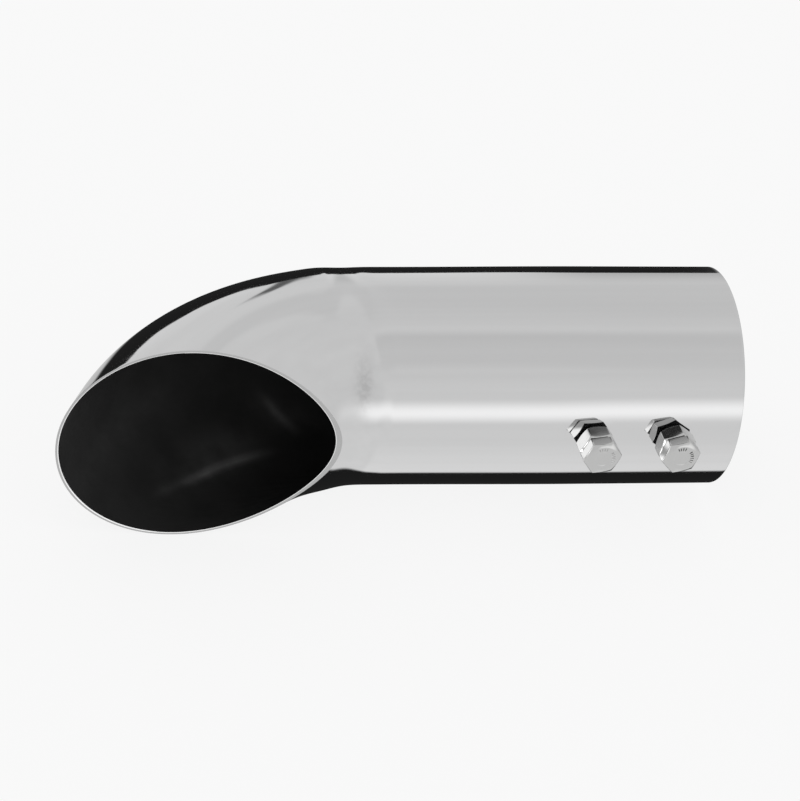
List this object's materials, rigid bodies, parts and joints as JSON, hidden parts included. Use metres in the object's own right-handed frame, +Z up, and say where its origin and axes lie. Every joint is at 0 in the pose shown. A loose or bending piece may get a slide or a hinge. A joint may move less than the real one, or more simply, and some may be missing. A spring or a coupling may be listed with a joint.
{
  "type": "exhaust tip",
  "caption": "Turn-down exhaust tip: a polished bent tube with a slash-cut mouth, whose straight sleeve slides over a tail pipe and is clamped by two hex screws in welded nuts.",
  "frame": {"origin": "centre of the sleeve's bore at the inlet end", "axes": "+X along the sleeve, out of the inlet; the bend turns towards -Y, where the mouth opens; +Z up, square to the plane of the bend, with the tube lying on its side"},
  "size_m": [0.2, 0.0726, 0.063],
  "materials": {
    "polished_tube": "mirror-polished outside, dark satin inside",
    "plated_hardware": "bright plated"
  },
  "bodies": {
    "root": {"tip_tube": "polished_tube", "weld_nuts": "plated_hardware", "clamp_screws": "plated_hardware"}
  },
  "joints": []
}
